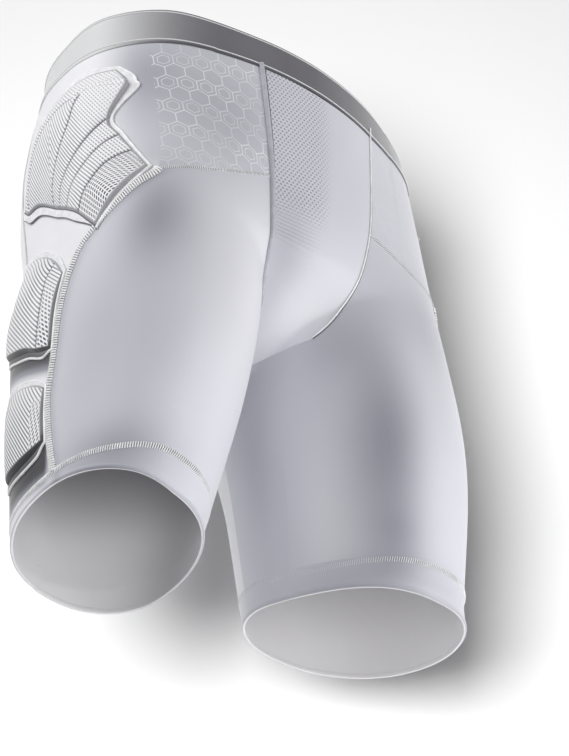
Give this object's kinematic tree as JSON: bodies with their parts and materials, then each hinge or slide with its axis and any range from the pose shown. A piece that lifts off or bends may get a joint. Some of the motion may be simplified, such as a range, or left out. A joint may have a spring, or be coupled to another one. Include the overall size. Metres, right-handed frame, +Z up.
{
  "type": "padded sports shorts with hip pads",
  "caption": "Close-fitting padded sports shorts with an elastic waistband, a shaped front pouch, seamed cloth panels and ribbed pads over the hips and the sides of the thighs.",
  "frame": {"origin": "middle of the waist opening, level with the top of the waistband at the back", "axes": "+Z up along the wearer's trunk, -Y to the front, +X to the wearer's left"},
  "size_m": [0.3673, 0.2485, 0.4627],
  "materials": {
    "cloth": "smooth stretch knit with a soft satin sheen",
    "yoke_cloth": "smooth stretch knit with a fine tonal line pattern",
    "mesh_cloth": "stretch mesh knit with small round holes",
    "inner_cloth": "smooth stretch knit, a shade darker",
    "hem_cloth": "folded stretch knit with a cover-stitched edge",
    "waistband": "woven elastic with pale edges",
    "pad": "ribbed knit over foam",
    "pad_border": "flat bonded knit edge"
  },
  "bodies": {
    "root": {"waistband": "waistband", "front_pouch": "mesh_cloth", "hip_yoke_right": "yoke_cloth", "hip_yoke_left": "yoke_cloth", "thigh_front_right": "cloth", "thigh_front_left": "cloth", "side_panel_right": "cloth", "side_panel_left": "cloth", "back_right": "cloth", "back_left": "cloth", "inner_thigh_right": "inner_cloth", "inner_thigh_left": "inner_cloth", "hem_right": "hem_cloth", "hem_left": "hem_cloth", "hip_pad_border_right": "pad_border", "hip_pad_border_left": "pad_border", "hip_pad_right": "pad", "hip_pad_left": "pad", "thigh_pad_border_right": "pad_border", "thigh_pad_border_left": "pad_border", "thigh_pad_right": "pad", "thigh_pad_left": "pad", "lower_pad_border_right": "pad_border", "lower_pad_border_left": "pad_border", "lower_pad_right": "pad", "lower_pad_left": "pad"}
  },
  "joints": []
}
